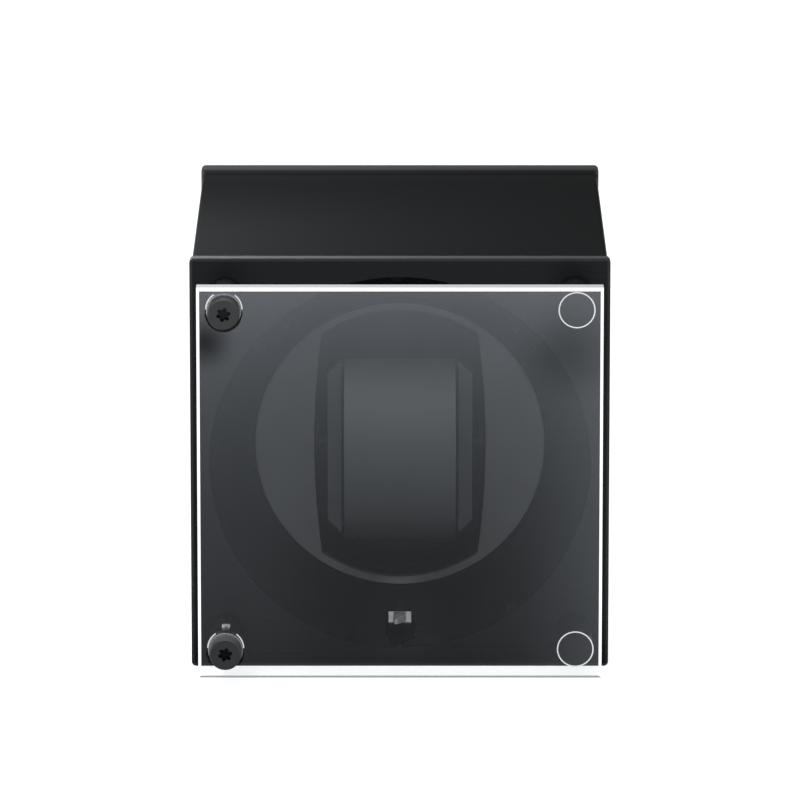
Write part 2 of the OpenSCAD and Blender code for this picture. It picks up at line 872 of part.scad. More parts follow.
module door_panel() {
    color(clear)
        difference() {
            chamfered_slab(door_w, door_h, door_front_y, door_back_y, panel_chamfer);
            for (s = [-1, 1]) {
                ycyl(keeper_x, fitting_mid + s * fitting_z, door_back_y - keeper_t - 0.1, door_back_y + 1,
                     keeper_r + 0.1);
                ycyl(-fitting_x, fitting_mid + s * fitting_z, door_front_y - 1, door_front_y + 3.5, 4.25);
                ycyl(-fitting_x, fitting_mid + s * fitting_z, door_front_y - 1, door_back_y + 1, 1.5);
            }
        }
}

// thin flange against the panel, with a tongue that turns on the hinge pin
module door_knuckle(z) {
    x = -fitting_x;
    difference() {
        union() {
            ycyl(x, z, door_back_y, door_back_y + 0.6, post_r - 0.05);
            intersection() {
                ycyl(x, z, door_back_y + 0.5, hinge_y + 5, post_r - 0.15);
                span([x - 6, door_back_y, z - hinge_gap + 0.15], [x + 6, hinge_y + 5, z + hinge_gap - 0.15]);
                union() {
                    translate([x, hinge_y, z - 6])
                        cylinder(h = 12, r = post_r - 0.15);
                    span([x - 6, door_back_y, z - 6], [x + 6, hinge_y, z + 6]);
                }
            }
        }
        translate([x, hinge_y, z - 6])
            cylinder(h = 12, r = pin_r + 0.05);
        ycyl(x, z, door_back_y - 1, hinge_y - 1.5, 1.2);
    }
}

module door_knuckle_upper() {
    color(black_metal)
        door_knuckle(fitting_mid + fitting_z);
}

module door_knuckle_lower() {
    color(black_metal)
        door_knuckle(fitting_mid - fitting_z);
}

module door_screws() {
    y0 = front_y - head_reach;
    color(black_metal)
        for (s = [-1, 1])
            translate([-fitting_x, 0, fitting_mid + s * fitting_z])
                difference() {
                    union() {
                        ycyl(0, 0, y0, y0 + 0.4, 3.5, 3.8);
                        ycyl(0, 0, y0 + 0.4 - eps, door_front_y + 3, 3.8);
                        ycyl(0, 0, door_front_y + 3 - eps, hinge_y - 1.6, 1.2);
                    }
                    star_recess(y0, y0 + 1.6, 1.7);
                }
}

module door_washers() {
    color(steel)
        for (s = [-1, 1])
            difference() {
                ycyl(-fitting_x, fitting_mid + s * fitting_z, door_front_y + 3, door_front_y + 3.5, 4.15);
                ycyl(-fitting_x, fitting_mid + s * fitting_z, door_front_y + 2, door_front_y + 4, 1.3);
            }
}

module keeper_discs() {
    color(black_metal)
        for (s = [-1, 1])
            ycyl(keeper_x, fitting_mid + s * fitting_z, door_back_y - keeper_t - 0.05, door_back_y - 0.05,
                 keeper_r);
}

body_shell();
front_plate();
rear_plate();
rear_screws();
funnel();
spacer_columns();
chassis_plate();
chassis_screws();
shaft_bushing();
hinge_post_upper();
hinge_post_lower();
hinge_pin_upper();
hinge_pin_lower();
catch_post_upper();
catch_post_lower();
catch_magnets();
switch_plate();
switch_body();
switch_lever();
gearbox();
motor_can();
motor_terminals();
motor_screws();
motor_shaft();
drive_pinion();
circuit_board();
board_components();
board_standoffs();
power_jack();
jack_nut();
wiring();
door_panel();
door_knuckle_upper();
door_knuckle_lower();
door_screws();
door_washers();
keeper_discs();
rotor_pocket();
rotor_drum();
rotor_screws();
rotor_gear();
rotor_shaft();
shaft_collar();
guide_rods();
pocket_clips();
holder_frame();
holder_studs();
holder_pad();
pad_guides();
pad_springs();
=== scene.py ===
"""Looks for the watch winder box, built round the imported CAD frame."""

import json
import math

import bmesh
import bpy
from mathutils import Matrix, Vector


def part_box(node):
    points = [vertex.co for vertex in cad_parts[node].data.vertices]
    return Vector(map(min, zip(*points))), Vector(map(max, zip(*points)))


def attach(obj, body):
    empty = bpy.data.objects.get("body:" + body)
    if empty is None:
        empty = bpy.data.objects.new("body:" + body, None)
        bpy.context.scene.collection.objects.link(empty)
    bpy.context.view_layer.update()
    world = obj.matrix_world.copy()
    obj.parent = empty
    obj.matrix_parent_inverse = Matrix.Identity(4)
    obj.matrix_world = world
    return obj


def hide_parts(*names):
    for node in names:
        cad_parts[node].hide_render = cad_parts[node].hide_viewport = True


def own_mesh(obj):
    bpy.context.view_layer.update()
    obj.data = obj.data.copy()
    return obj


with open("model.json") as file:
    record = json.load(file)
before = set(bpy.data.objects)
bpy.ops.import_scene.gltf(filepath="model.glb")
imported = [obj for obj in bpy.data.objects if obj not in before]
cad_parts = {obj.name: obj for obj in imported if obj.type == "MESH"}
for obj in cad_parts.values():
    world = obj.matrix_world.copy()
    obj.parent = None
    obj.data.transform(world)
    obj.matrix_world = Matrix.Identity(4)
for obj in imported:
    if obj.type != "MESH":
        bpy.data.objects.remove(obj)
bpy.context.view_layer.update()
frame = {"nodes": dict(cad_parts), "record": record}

MM = 0.001
FRONT_Y = -45 * MM  # front face of the front plate
MID_Z = 50 * MM
# door fittings, from the middle of the door: screws on the left, keepers on the right
FITTING_X = 41.4 * MM
KEEPER_X = 41.65 * MM
FITTING_Z = 41.2 * MM
FITTING_MID = MID_Z + 0.3 * MM
DOOR_FRONT_Y = FRONT_Y - 17.6 * MM - 5 * MM
HEAD_Y = -69 * MM  # front faces of the door screws
CUSHION_Y = FRONT_Y + 17 * MM  # axis of the watch cushion
# mirror share of a clear sheet's two faces, seen square on
TWO_FACE_MIRROR = 0.077

scene = bpy.context.scene


# ---------------------------------------------------------------- node helpers


class Shader:
    """A material being built: short ways to add and link its nodes."""

    def __init__(self, name):
        self.mat = bpy.data.materials.new(name)
        self.mat.use_nodes = True
        self.tree = self.mat.node_tree
        self.bsdf = self.tree.nodes["Principled BSDF"]
        self.out = self.tree.nodes["Material Output"]
        self.coords = self.tree.nodes.new("ShaderNodeTexCoord").outputs["Object"]

    def node(self, kind, **settings):
        n = self.tree.nodes.new(kind)
        for key, value in settings.items():
            if hasattr(n, key):
                setattr(n, key, value)
            else:
                n.inputs[key.replace("_", " ")].default_value = value
        return n

    def link(self, a, b):
        self.tree.links.new(a, b)

    def set(self, **values):
        for key, value in values.items():
            self.bsdf.inputs[key.replace("_", " ")].default_value = value

    def stretched(self, scale):
        n = self.node("ShaderNodeMapping")
        n.inputs["Scale"].default_value = scale
        self.link(self.coords, n.inputs["Vector"])
        return n.outputs["Vector"]

    def noise(self, scale, detail=3.0, stretch=(1, 1, 1), rough=0.55):
        n = self.node("ShaderNodeTexNoise")
        n.inputs["Scale"].default_value = scale
        n.inputs["Detail"].default_value = detail
        n.inputs["Roughness"].default_value = rough
        self.link(self.stretched(stretch), n.inputs["Vector"])
        return n.outputs["Fac"]

    def spread(self, value, low, high, lo_in=0.3, hi_in=0.7):
        n = self.node("ShaderNodeMapRange")
        n.inputs["From Min"].default_value = lo_in
        n.inputs["From Max"].default_value = hi_in
        n.inputs["To Min"].default_value = low
        n.inputs["To Max"].default_value = high
        self.link(value, n.inputs["Value"])
        return n.outputs["Result"]

    def tones(self, value, dark, light, lo=0.3, hi=0.7):
        n = self.node("ShaderNodeValToRGB")
        n.color_ramp.elements[0].position = lo
        n.color_ramp.elements[0].color = (*dark, 1)
        n.color_ramp.elements[1].position = hi
        n.color_ramp.elements[1].color = (*light, 1)
        self.link(value, n.inputs["Fac"])
        return n.outputs["Color"]

    def bump(self, value, strength, distance):
        n = self.node("ShaderNodeBump")
        n.inputs["Strength"].default_value = strength
        n.inputs["Distance"].default_value = distance
        self.link(value, n.inputs["Height"])
        return n.outputs["Normal"]

    def axes(self):
        """X, Y and Z of the object's own coordinates, as sockets by name."""
        split = self.node("ShaderNodeSeparateXYZ")
        self.link(self.coords, split.inputs["Vector"])
        return split.outputs

    def mottle(self):
        return self.noise(90, 4)

    def mix_colors(self, factor, a, b, **settings):
        n = self.node("ShaderNodeMix", data_type="RGBA", **settings)
        if hasattr(factor, "is_output"):
            self.link(factor, n.inputs["Factor"])
        else:
            n.inputs["Factor"].default_value = factor
        self.link(a, n.inputs["A"])
        self.link(b, n.inputs["B"])
        return n.outputs["Result"]

    def color(self, socket):
        self.link(socket, self.bsdf.inputs["Base Color"])

    def roughness(self, socket):
        self.link(socket, self.bsdf.inputs["Roughness"])

    def uneven_gloss(self, rough):
        self.roughness(self.spread(self.noise(160, 3), rough - 0.05, rough + 0.05))

    def normal(self, socket):
        self.link(socket, self.bsdf.inputs["Normal"])


class Chain:
    """Number maths in a node tree."""

    def __init__(self, tree):
        self.tree = tree

    def math(self, operation, a, b=0.0):
        n = self.tree.nodes.new("ShaderNodeMath")
        n.operation = operation
        for socket, value in zip(n.inputs, (a, b)):
            if hasattr(value, "is_output"):
                self.tree.links.new(value, socket)
            else:
                socket.default_value = value
        return n.outputs["Value"]

    def ramp(self, value, lo_in, hi_in, lo, hi):
        n = self.tree.nodes.new("ShaderNodeMapRange")
        n.interpolation_type = "SMOOTHSTEP"
        n.inputs["From Min"].default_value = lo_in
        n.inputs["From Max"].default_value = hi_in
        n.inputs["To Min"].default_value = lo
        n.inputs["To Max"].default_value = hi
        self.tree.links.new(value, n.inputs["Value"])
        return n.outputs["Result"]


def speckled(name, dark, light, rough, grain_scale, grain_depth, metallic=0.0, specular=0.5):
    """A moulded, blasted or painted surface: soft mottle, a fine grain and uneven gloss."""
    s = Shader(name)
    s.set(Metallic=metallic, Specular_IOR_Level=specular)
    s.color(s.tones(s.mottle(), dark, light))
    s.uneven_gloss(rough)
    s.normal(s.bump(s.noise(grain_scale, 2), 0.08, grain_depth))
    return s.mat


STREAK_LONG, STREAK_FINE = 18, 1400  # noise scales along and across a metal's streaks


def brushed(name, dark, light, rough):
    """Metal with fine upright streaks."""
    s = Shader(name)
    s.set(Metallic=1.0)
    streak = s.noise(1.0, 3, (STREAK_FINE, STREAK_FINE, STREAK_LONG), 0.6)
    s.color(s.tones(streak, dark, light))
    s.roughness(s.spread(streak, rough - 0.06, rough + 0.06))
    s.normal(s.bump(streak, 0.4, 0.00001))
    return s.mat


def turned(name, dark, light, rough, metallic=1.0):
    """Machined metal with fine rings and a little tarnish."""
    s = Shader(name)
    s.set(Metallic=metallic)
    wave = s.node("ShaderNodeTexWave", wave_type="RINGS", rings_direction="Y")
    wave.inputs["Scale"].default_value = 2600
    wave.inputs["Distortion"].default_value = 1.5
    s.link(s.coords, wave.inputs["Vector"])
    s.color(s.tones(s.noise(240, 4), dark, light))
    s.roughness(s.spread(s.noise(500, 2), rough - 0.06, rough + 0.08))
    s.normal(s.bump(wave.outputs["Fac"], 0.12, 0.00001))
    return s.mat


def grey(level, tint=0.0):
    return (level * (1 - tint), level, level * (1 + tint))


RIM_START, RIM_END = 49.1 * MM, 49.6 * MM  # where a plate's edge begins, from its middle


def anodised(name, tone, rim_sheen):
    """Anodised black metal, fine drawn streaks; rim: machined edges' tone, partly painted sheen.
    """
    s = Shader(name)
    s.set(Specular_IOR_Level=0.1)
    streak = s.noise(1.0, 3, (STREAK_LONG, STREAK_FINE, STREAK_FINE), 0.6)
    axes = s.axes()
    c = Chain(s.tree)
    out = c.math("MAXIMUM", c.math("ABSOLUTE", axes["X"]),
                 c.math("ABSOLUTE", c.math("SUBTRACT", axes["Z"], MID_Z)))
    # painted sheen, in part: the edges take the paler rim tone
    s.color(s.mix_colors(c.ramp(out, RIM_START, RIM_END, 0.0, 1.0),
                         s.tones(streak, grey(tone * 0.92, 0.05), grey(tone, 0.05)),
                         s.tones(streak, grey(rim_sheen * 0.85, 0.03), grey(rim_sheen, 0.03))))
    s.roughness(s.spread(streak, 0.27, 0.29))
    s.normal(s.bump(streak, 0.06, 0.000003))
    return s.mat


FACE_FADE = 2.5 * MM
POCKET_HALF = 22 * MM
# painted shade in the rotor pocket
POCKET_PAINTED_SHADE = 0.16  # tone of the pocket's bottom, as a share of its top


def pale_face_shaded_pocket(name, face, inside, face_y, rough):
    """Pale-faced moulding; behind face_y it darkens, most of all low down as painted shade."""
    s = Shader(name)
    s.set(Specular_IOR_Level=0.35)
    axes = s.axes()
    mottle = s.mottle()
    # painted shade: the pocket darkens towards its bottom
    height = s.spread(axes["Z"], 0.0, 1.0, MID_Z - POCKET_HALF, MID_Z + POCKET_HALF)
    shaded = s.mix_colors(1.0, s.tones(mottle, grey(inside * 0.9, 0.03), grey(inside, 0.03)),
                          s.tones(height, grey(POCKET_PAINTED_SHADE), grey(1.0), 0.0, 1.0),
                          blend_type="MULTIPLY")
    s.color(s.mix_colors(s.spread(axes["Y"], 0.0, 1.0, face_y, face_y + FACE_FADE),
                         s.tones(mottle, grey(face * 0.93, 0.03), grey(face, 0.03)), shaded))
    s.uneven_gloss(rough)
    s.normal(s.bump(s.noise(3000, 2), 0.05, 0.00001))
    return s.mat


# painted shade in the screw's star recess: its radius and edge, and where it begins and is full
RECESS_R, RECESS_EDGE = 2.0 * MM, 2.3 * MM
RECESS_TOP, RECESS_FULL_SHADE = HEAD_Y + 0.1 * MM, HEAD_Y + 0.3 * MM


def shaded_socket_screw(name, tone, rough):
    """Black screw; its star recess, near its axis and behind its face, has painted shade."""
    s = Shader(name)
    s.set(Metallic=0.1, Specular_IOR_Level=0.2)
    axes = s.axes()
    c = Chain(s.tree)
    across = c.math("ADD", axes["X"], FITTING_X)
    height = c.math("ABSOLUTE", c.math("SUBTRACT", axes["Z"], FITTING_MID))
    up = c.math("SUBTRACT", height, FITTING_Z)
    out = c.math("SQRT", c.math("ADD", c.math("POWER", across, 2.0), c.math("POWER", up, 2.0)))
    # painted shade inside the recess
    outside_shade = c.math("MAXIMUM", c.ramp(out, RECESS_R, RECESS_EDGE, 0.0, 1.0),
                 c.ramp(axes["Y"], RECESS_TOP, RECESS_FULL_SHADE, 1.0, 0.0))
    mottle = s.mottle()
    s.color(s.mix_colors(outside_shade, s.tones(mottle, grey(0.006), grey(0.01)),
                         s.tones(mottle, grey(tone * 0.9, 0.03), grey(tone, 0.03))))
    s.uneven_gloss(rough)
    s.normal(s.bump(s.noise(3000, 2), 0.05, 0.00001))
    return s.mat


MATS = {
    "black_anodised": anodised("anodised_tube", 0.008, 0.008),
    "black_steel": speckled("black_oxide", grey(0.02), grey(0.035), 0.42, 2600, 0.00001, 0.6),
    "funnel_plastic": speckled("funnel_satin", grey(0.005, 0.04), grey(0.007, 0.04), 0.5, 3000,
                               0.00001, 0.0, 0.3),
    "plain_steel": turned("turned_steel", grey(0.55), grey(0.72), 0.3, 0.7),
    "sheet_steel": brushed("zinc_sheet", grey(0.42), grey(0.56), 0.36),
    "bronze": turned("sintered_bronze", (0.42, 0.27, 0.1), (0.62, 0.42, 0.18), 0.38),
    "black_fitting": speckled("black_fitting", grey(0.003), grey(0.005), 0.3, 3400, 0.000008,
                              0.0, 0.6),
    "nickel": turned("nickel_plate", grey(0.8), grey(0.92), 0.35, 0.5),
    "black_plastic": speckled("black_nylon", grey(0.02), grey(0.035), 0.5, 2400, 0.00002),
    "switch_grey": turned("switch_metal", grey(0.18), grey(0.26), 0.4, 0.0),
    "green_board": speckled("solder_mask", (0.006, 0.07, 0.03), (0.012, 0.12, 0.05), 0.3, 900,
                            0.00003),
    "wire_red": speckled("wire_skin", (0.3, 0.02, 0.015), (0.5, 0.04, 0.03), 0.4, 1800, 0.00002),
    "black_screw": shaded_socket_screw("black_screw", 0.068, 0.3),
    "keeper_grey": speckled("keeper_disc", grey(0.018), grey(0.024), 0.6, 3000, 0.00001, 0.0,
                            0.1),
    "rotor_plastic": pale_face_shaded_pocket("rotor_satin", 0.1, 0.079, FRONT_Y + 21 * MM, 0.5),
    "white_acetal": speckled("acetal", (0.62, 0.61, 0.57), (0.74, 0.73, 0.69), 0.35, 1500,
                             0.00002),
    "holder_grey": speckled("holder_satin", grey(0.054, 0.04), grey(0.062, 0.04), 0.5, 3000,
                            0.00001, 0.0, 0.4),
    "pad_grey": speckled("pad_satin", grey(0.053, 0.04), grey(0.061, 0.04), 0.55, 3000, 0.00001,
                         0.0, 0.4),
}


def acrylic_face():
    """Clear sheet seen through unbent, with the mirror of both its faces on one skin."""
    s = Shader("acrylic_face")
    clear = s.node("ShaderNodeBsdfTransparent")
    s.link(s.tones(s.noise(30, 2), (0.985, 0.99, 0.99), (0.995, 1.0, 1.0)), clear.inputs["Color"])
    gloss = s.node("ShaderNodeBsdfGlossy")
    gloss.inputs["Roughness"].default_value = 0.0
    gloss.inputs["Color"].default_value = (0.96, 0.98, 1.0, 1)
    facing = s.node("ShaderNodeLayerWeight").outputs["Facing"]
    grazing = s.node("ShaderNodeMath", operation="POWER")
    s.link(facing, grazing.inputs[0])
    grazing.inputs[1].default_value = 5.0
    mirror = s.spread(grazing.outputs["Value"], TWO_FACE_MIRROR, 0.9, 0.0, 1.0)
    mix = s.node("ShaderNodeMixShader")
    s.link(mirror, mix.inputs["Fac"])
    s.link(clear.outputs["BSDF"], mix.inputs[1])
    s.link(gloss.outputs["BSDF"], mix.inputs[2])
    s.link(mix.outputs["Shader"], s.out.inputs["Surface"])
    s.tree.nodes.remove(s.bsdf)
    return s.mat


def acrylic_back():
    """The sheet's inner skin: clear, with a trace of haze."""
    s = Shader("acrylic_back")
    clear = s.node("ShaderNodeBsdfTransparent")
    s.link(s.tones(s.noise(40, 2), (0.98, 0.985, 0.985), (0.99, 0.995, 0.995)),
           clear.inputs["Color"])
    s.link(clear.outputs["BSDF"], s.out.inputs["Surface"])
    s.tree.nodes.remove(s.bsdf)
    return s.mat


def acrylic_edge(name, level, painted_glow, rough=0.25):
    """Sawn and flame-polished edge of the sheet; its emission is painted light."""
    s = Shader(name)
    s.set(Specular_IOR_Level=0.5, Emission_Strength=painted_glow)
    s.color(s.tones(s.noise(300, 3), grey(level * 0.95, 0.02), grey(level, 0.02)))
    s.bsdf.inputs["Emission Color"].default_value = (0.95, 0.98, 1.0, 1)
    s.roughness(s.spread(s.noise(700, 2), rough, rough + 0.1))
    s.normal(s.bump(s.noise(1.0, 2, (60, 60, 2500)), 0.15, 0.00001))
    return s.mat


# ---------------------------------------------------------------- carried-over CAD nodes

NODES = frame["nodes"]
SLOTS = {row["node"]: row["material_slot"] for row in frame["record"]["subparts"]}
BEVELS = {  # mm
    "body_shell": 0.5, "front_plate": 0.7, "rear_plate": 0.7, "funnel": 0.3, "rotor_pocket": 0.4,
    "holder_frame": 0.45, "holder_pad": 0.6, "hinge_post_upper": 0.3, "hinge_post_lower": 0.3,
    "catch_post_upper": 0.3, "catch_post_lower": 0.3, "door_knuckle_upper": 0.2,
    "door_knuckle_lower": 0.2, "door_screws": 0.15, "keeper_discs": 0.2, "switch_plate": 0.08,
    "switch_lever": 0.12,
}


SMALL_BEVEL = 0.15
REPLACED = ("door_panel", "pad_springs")


def finish_cad(name, width):
    """Joins the CAD node's faces, eases its edges and gives it its slot's material."""
    obj = NODES[name]
    obj.data.materials.clear()
    obj.data.materials.append(MATS[SLOTS[name]])
    weld = obj.modifiers.new("weld", "WELD")
    weld.merge_threshold = 0.000002
    bevel = obj.modifiers.new("bevel", "BEVEL")
    bevel.width = width * MM
    bevel.segments = 3
    bevel.limit_method = "ANGLE"
    bevel.angle_limit = math.radians(32)
    obj.modifiers.new("normals", "WEIGHTED_NORMAL").keep_sharp = True


for node_name in NODES:
    if node_name not in REPLACED:
        finish_cad(node_name, BEVELS.get(node_name, SMALL_BEVEL))

# the plates' paler rim tone is partly painted sheen on their edges
plate_finish = anodised("anodised_plate", 0.017, 0.055)
for node_name in ("front_plate", "rear_plate"):
    NODES[node_name].data.materials[0] = plate_finish
NODES["holder_studs"].data.materials[0] = MATS["funnel_plastic"]
NODES["door_washers"].data.materials[0] = turned("washer_steel", grey(0.3), grey(0.4), 0.3, 0.5)


# ---------------------------------------------------------------- door panel

# the edges and frosted rings glow with painted light; the under edge is greyer, painted shade
SKIN, BACK, WHITE_GLOW_EDGE, TOP_EDGE, UNDER_SHADE_EDGE, FROST_GLOW = range(6)
PANEL_MATS = [acrylic_face(), acrylic_back(), acrylic_edge("edge_white_glow", 0.3, 1.0),
              acrylic_edge("edge_top", 0.06, 0.52), acrylic_edge("edge_under_shaded", 0.2, 0.3),
              acrylic_edge("frost_glow_ring", 0.3, 0.6, 0.4)]


CIRCLE_SIDES = 96
CHAMFER = 0.7 * MM
BORE_R = 4.25 * MM
BORE_LIP_R, BORE_LIP = 4.4 * MM, 0.15 * MM
HEAD_DEPTH = 3.5 * MM
SHANK_R = 1.5 * MM
FROST_R = 4.1 * MM
KEEPER_R, KEEPER_FROST_R = 4.36 * MM, 4.06 * MM
KEEPER_DEPTH = 1.0 * MM
ARC_TOP = 0.8  # sine of the angle where the side arcs end


def loop_verts(bm, points):
    """A closed loop of vertices and its edges."""
    verts = [bm.verts.new(p) for p in points]
    edges = [bm.edges.new((verts[i - 1], verts[i])) for i in range(len(verts))]
    return verts, edges


def circle(x, y, z, r):
    angles = [math.tau * k / CIRCLE_SIDES for k in range(CIRCLE_SIDES)]
    return [(x + r * math.cos(a), y, z + r * math.sin(a)) for a in angles]


def rectangle(w, h, y):
    low, high = FITTING_MID - h, FITTING_MID + h
    return [(-w, y, low), (w, y, low), (w, y, high), (-w, y, high)]


def bridge(bm, a, b, mat_of):
    """Quads between two loops of the same length; mat_of picks each quad's material."""
    for i in range(len(a)):
        face = bm.faces.new((a[i - 1], a[i], b[i], b[i - 1]))
        face.material_index = mat_of(i)


def fill_flat(bm, loops, mat):
    """Fills the outer loop of edges, leaving the inner ones open."""
    edges = [e for loop in loops for e in loop]
    made = bmesh.ops.triangle_fill(bm, edges=edges, use_beauty=True)
    for face in made["geom"]:
        if isinstance(face, bmesh.types.BMFace):
            face.material_index = mat


def stepped_bore(bm, x, z, steps):
    """Round hole as rings: y, radius, and the wall's material, or what picks it per quad."""
    rings = [loop_verts(bm, circle(x, y, z, r)) for y, r, _ in steps]
    for a, b, (_, _, mat) in zip(rings, rings[1:], steps):
        bridge(bm, a[0], b[0], mat if callable(mat) else lambda i, m=mat: m)
    return rings


def highlight_arcs(i):
    """Painted highlight round a door screw: two glowing arcs, upper left and upper right."""
    return FROST_GLOW if 0.0 < math.sin(math.tau * i / CIRCLE_SIDES) < ARC_TOP else BACK


def build_panel():
    low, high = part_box("door_panel")
    half_w = (high[0] - low[0]) / 2
    half_h = (high[2] - low[2]) / 2
    front, back = low[1], high[1]
    bm = bmesh.new()
    frames = [loop_verts(bm, rectangle(half_w - inset, half_h - inset, y))
              for y, inset in ((front, CHAMFER), (front + CHAMFER, 0), (back - CHAMFER, 0),
                               (back, CHAMFER))]
    # materials of the left, bottom, right and top strips of each band
    for k, strips in enumerate(((WHITE_GLOW_EDGE, UNDER_SHADE_EDGE, WHITE_GLOW_EDGE, WHITE_GLOW_EDGE),
                                (WHITE_GLOW_EDGE, BACK, WHITE_GLOW_EDGE, TOP_EDGE),
                                (BACK, BACK, BACK, TOP_EDGE))):
        bridge(bm, frames[k][0], frames[k + 1][0], strips.__getitem__)
    front_loops = [frames[0][1]]
    back_loops = [frames[3][1]]
    for up in (-1, 1):
        z = FITTING_MID + up * FITTING_Z
        bore = stepped_bore(bm, -FITTING_X, z, [
            (front, BORE_LIP_R, BACK), (front + BORE_LIP, BORE_R, BACK),
            (front + HEAD_DEPTH, BORE_R, BACK), (front + HEAD_DEPTH, SHANK_R, BACK),
            (back, SHANK_R, BACK), (back, FROST_R, highlight_arcs), (back, BORE_LIP_R, BACK)])
        front_loops.append(bore[0][1])
        back_loops.append(bore[-1][1])
        # the keeper recess's wall is a frosted ring that glows with painted light
        recess = stepped_bore(bm, KEEPER_X, z, [
            (back, KEEPER_R, BACK), (back - KEEPER_DEPTH, KEEPER_R, FROST_GLOW),
            (back - KEEPER_DEPTH, KEEPER_FROST_R, BACK)])
        back_loops.append(recess[0][1])
        fill_flat(bm, [recess[-1][1]], BACK)
    fill_flat(bm, front_loops, SKIN)
    fill_flat(bm, back_loops, BACK)
    bmesh.ops.recalc_face_normals(bm, faces=bm.faces)
    mesh = bpy.data.meshes.new("clear_panel")
    bm.to_mesh(mesh)
    bm.free()
    for mat in PANEL_MATS:
        mesh.materials.append(mat)
    panel = bpy.data.objects.new("clear_panel", mesh)
    scene.collection.objects.link(panel)
    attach(panel, "door")
    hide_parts("door_panel")


build_panel()


# ---------------------------------------------------------------- pad springs

SPRING_R = 2.9 * MM
SPRING_WIRE = 0.4 * MM
SPRING_TURNS = 5
STEPS_PER_TURN = 36
WIRE_SIDES = 10
SPRING_FRONT_Y = CUSHION_Y - 14.2 * MM
SPRING_BACK_Y = CUSHION_Y + 3.5 * MM
SPRING_OFFSET = 10 * MM


def helix_ring(z, turn):
    """Ring of the spring's wire at a point along its turns."""
    a = math.tau * turn
    share = turn / SPRING_TURNS
    y = SPRING_FRONT_Y + (SPRING_BACK_Y - SPRING_FRONT_Y) * share
    ring = []
    for k in range(WIRE_SIDES):
        b = math.tau * k / WIRE_SIDES
        r = SPRING_R + SPRING_WIRE * math.cos(b)
        ring.append((r * math.cos(a), y + SPRING_WIRE * math.sin(b), z + r * math.sin(a)))
    return ring


def build_springs():
    """Two coil springs between the holder and its pad."""
    bm = bmesh.new()
    for up in (-1, 1):
        z = MID_Z + up * SPRING_OFFSET
        steps = SPRING_TURNS * STEPS_PER_TURN
        rings = [[bm.verts.new(p) for p in helix_ring(z, SPRING_TURNS * i / steps)]
                 for i in range(steps + 1)]
        for a, b in zip(rings, rings[1:]):
            bridge(bm, a, b, lambda i: 0)
        bm.faces.new(rings[0])
        bm.faces.new(rings[-1])
    bmesh.ops.recalc_face_normals(bm, faces=bm.faces)
    mesh = bpy.data.meshes.new("coil_springs")
    bm.to_mesh(mesh)
    bm.free()
    mesh.materials.append(MATS["plain_steel"])
    mesh.shade_smooth()
    springs = bpy.data.objects.new("coil_springs", mesh)
    scene.collection.objects.link(springs)
    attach(springs, "watch_holder")
    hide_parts("pad_springs")
    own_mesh(springs)


build_springs()


# ---------------------------------------------------------------- camera, lights, stage

CAMERA_UP_MM = 466.4
CAMERA_DOWN_TILT = 13.003  # degrees

camera_data = bpy.data.cameras.new("camera")
camera_data.sensor_width = 36
camera_data.lens = 336.5
camera_data.clip_start = 0.05
camera_data.clip_end = 40
camera = bpy.data.objects.new("camera", camera_data)
camera.location = (0.02 * MM, -1735.9 * MM + FRONT_Y, CAMERA_UP_MM * MM)
camera.rotation_euler = (math.radians(90 - CAMERA_DOWN_TILT), 0, 0)
scene.collection.objects.link(camera)
scene.camera = camera


def add_light(data, place, target, power):
    """Lights the object only: no light shows as itself in a reflection."""
    data.energy = power
    light = bpy.data.objects.new(data.name, data)
    light.location = place
    aim = Vector(target) - Vector(place)
    light.rotation_euler = aim.to_track_quat("-Z", "Y").to_euler()
    light.visible_glossy = False
    scene.collection.objects.link(light)


def area_light(name, place, target, size, power):
    data = bpy.data.lights.new(name, "AREA")
    data.shape = "RECTANGLE"
    data.size, data.size_y = size
    add_light(data, place, target, power)


def spot_light(name, place, target, spread_deg, power):
    data = bpy.data.lights.new(name, "SPOT")
    data.spot_size = math.radians(spread_deg)
    data.spot_blend = 1.0
    add_light(data, place, target, power)


def flat_quad(name, corners, mat):
    mesh = bpy.data.meshes.new(name)
    mesh.from_pydata([Vector(c) for c in corners], [], [(0, 1, 2, 3)])
    mesh.materials.append(mat)
    obj = bpy.data.objects.new(name, mesh)
    scene.collection.objects.link(obj)
    return obj


def floor_material():
    s = Shader("pale_floor")
    s.color(s.tones(s.noise(3, 2), (0.28, 0.285, 0.29), (0.3, 0.305, 0.31)))
    s.set(Roughness=0.9, Specular_IOR_Level=0.0, Emission_Strength=0.86)
    s.bsdf.inputs["Emission Color"].default_value = (0.98, 1.0, 1.0, 1)
    return s.mat


def level_sheet(half_w, near, far, z):
    return [(-half_w, near, z), (half_w, near, z), (half_w, far, z), (-half_w, far, z)]


FLOOR_HALF = 8
floor = flat_quad("floor", level_sheet(FLOOR_HALF, -FLOOR_HALF, FLOOR_HALF, 0), floor_material())
floor.visible_glossy = False
floor.visible_diffuse = False

# The card's grading, by the place on the door where the photograph's view mirrors it: across in
# metres, height in mm. Each ramp is from, to, value before, value after.
CAMERA_REACH = 1713 * MM
CARD_TOP = 97.0
RISE_PEAK, RISE_LENGTH, RISE_GLOW = 95.0, 33.0, 0.1
SIDE_GLOW = (0.026, 0.055, 0.0, 0.033)
SIDE_FADE = (66.0, 90.0, 1.0, 0.0)
WING_GLOW = (0.013, 0.038, 0.006, 0.014)
# painted shade: dark spots in the card's glow; x, height on the door and radius in mm, depth
SHADE_SPOTS = ((-45.8, 85.5, 8.5, 0.85), (39, 83, 14, 0.4))


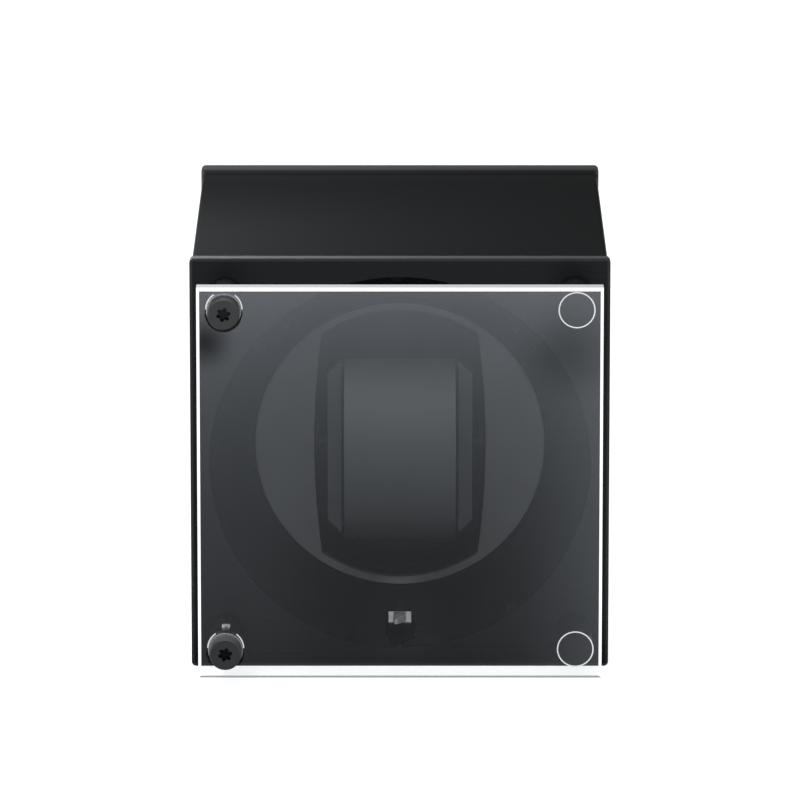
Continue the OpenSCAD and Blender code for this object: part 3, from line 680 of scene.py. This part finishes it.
def graded_card():
    """Glossy-only floor card: dark close to the object, bright further out and to the right."""
    s = Shader("graded_card")
    c = Chain(s.tree)
    emit = s.node("ShaderNodeEmission")
    axes = s.axes()
    away = c.math("SUBTRACT", DOOR_FRONT_Y, axes["Y"])
    reach = c.math("ADD", away, CAMERA_REACH)
    height = c.math("DIVIDE", c.math("MULTIPLY", away, CAMERA_UP_MM), reach)
    across = c.math("DIVIDE", c.math("MULTIPLY", axes["X"], CAMERA_REACH), reach)
    below_peak = c.math("SUBTRACT", c.math("MINIMUM", height, CARD_TOP), RISE_PEAK)
    rise = c.math("POWER", math.e, c.math("DIVIDE", below_peak, RISE_LENGTH))
    side = c.math("MULTIPLY", c.ramp(across, *SIDE_GLOW), c.ramp(height, *SIDE_FADE))
    wings = c.ramp(c.math("ABSOLUTE", across), *WING_GLOW)
    total = c.math("ADD", c.math("MULTIPLY", rise, RISE_GLOW), c.math("ADD", side, wings))
    # painted shade: each spot darkens the card's glow
    for x, z, radius, depth in SHADE_SPOTS:
        off = c.math("POWER", c.math("SUBTRACT", across, x * MM), 2.0)
        drop = c.math("POWER", c.math("MULTIPLY", c.math("SUBTRACT", height, z), MM), 2.0)
        gap = c.math("SQRT", c.math("ADD", off, drop))
        total = c.math("MULTIPLY", total, c.ramp(gap, 0.0, radius * MM, 1.0 - depth, 1.0))
    s.link(c.math("DIVIDE", total, TWO_FACE_MIRROR), emit.inputs["Strength"])
    emit.inputs["Color"].default_value = (0.92, 0.98, 1.06, 1)
    s.link(emit.outputs["Emission"], s.out.inputs["Surface"])
    s.tree.nodes.remove(s.bsdf)
    return s.mat


card = flat_quad("reflection_card", level_sheet(0.5, -1.3, DOOR_FRONT_Y, -0.001), graded_card())
card.visible_camera = False
card.visible_diffuse = False
card.visible_shadow = False
card.visible_transmission = False

# The world's strength by direction. Each ramp is from, to, value before, value after.
SKY_LIGHT = (-0.08, 0.32, 0.03, 0.9)
OVERHEAD_GLOSS = (0.45, 0.9, 0.0, 0.9)
FLANK_GLOSS = (0.8, 1.0, 0.0, 0.7)
FLOOR_GLEAM_UP = (-0.12, 0.0, 0.5, 0.0)
FLOOR_GLEAM_BACK = (-0.5, 0.0, 0.0, 1.0)
HORIZON_GLOSS = 0.018


def studio_world():
    """White to the eye; soft light from above; bright overhead and at the sides in reflections."""
    world = bpy.data.worlds.new("studio")
    world.use_nodes = True
    tree = world.node_tree
    background = tree.nodes["Background"]
    background.inputs["Color"].default_value = (0.98, 1.0, 1.0, 1)
    c = Chain(tree)
    path = tree.nodes.new("ShaderNodeLightPath").outputs
    split = tree.nodes.new("ShaderNodeSeparateXYZ")
    tree.links.new(tree.nodes.new("ShaderNodeTexCoord").outputs["Generated"],
                   split.inputs["Vector"])
    up = split.outputs["Z"]
    aside = c.math("ABSOLUTE", split.outputs["X"])
    soft = c.ramp(up, *SKY_LIGHT)
    overhead = c.ramp(up, *OVERHEAD_GLOSS)
    flanks = c.ramp(aside, *FLANK_GLOSS)
    floor_gleam = c.math("MULTIPLY", c.ramp(up, *FLOOR_GLEAM_UP),
                         c.ramp(split.outputs["Y"], *FLOOR_GLEAM_BACK))
    mirror = c.math("ADD", c.math("ADD", overhead, flanks),
                    c.math("ADD", floor_gleam, HORIZON_GLOSS))
    seen = path["Is Camera Ray"]
    glossy = path["Is Glossy Ray"]
    rest = c.math("SUBTRACT", 1.0, c.math("ADD", seen, glossy))
    strength = c.math("ADD", seen, c.math("MULTIPLY", glossy, mirror))
    strength = c.math("ADD", strength, c.math("MULTIPLY", rest, soft))
    tree.links.new(strength, background.inputs["Strength"])
    scene.world = world


studio_world()
area_light("key_left", (-0.085, -0.015, 0.165), (-0.03, -0.03, 0.1), (0.05, 0.05), 0.37)
MIDDLE = (0, 0, 0.05)
area_light("key_top", (-0.2, -0.9, 1.4), MIDDLE, (1.2, 1.2), 9)
area_light("fill_back", (0.5, 1.4, 0.16), MIDDLE, (0.8, 0.25), 16)
for side in (-1, 1):
    area_light("fill_side", (side * 1.4, 0.4, 0.16), MIDDLE, (0.8, 0.25), 10)
spot_light("switch_glint", (0.02, -0.45, 0.1), (0, -0.03, 0.0085), 3.0, 4.0)

scene.view_settings.view_transform = "Standard"
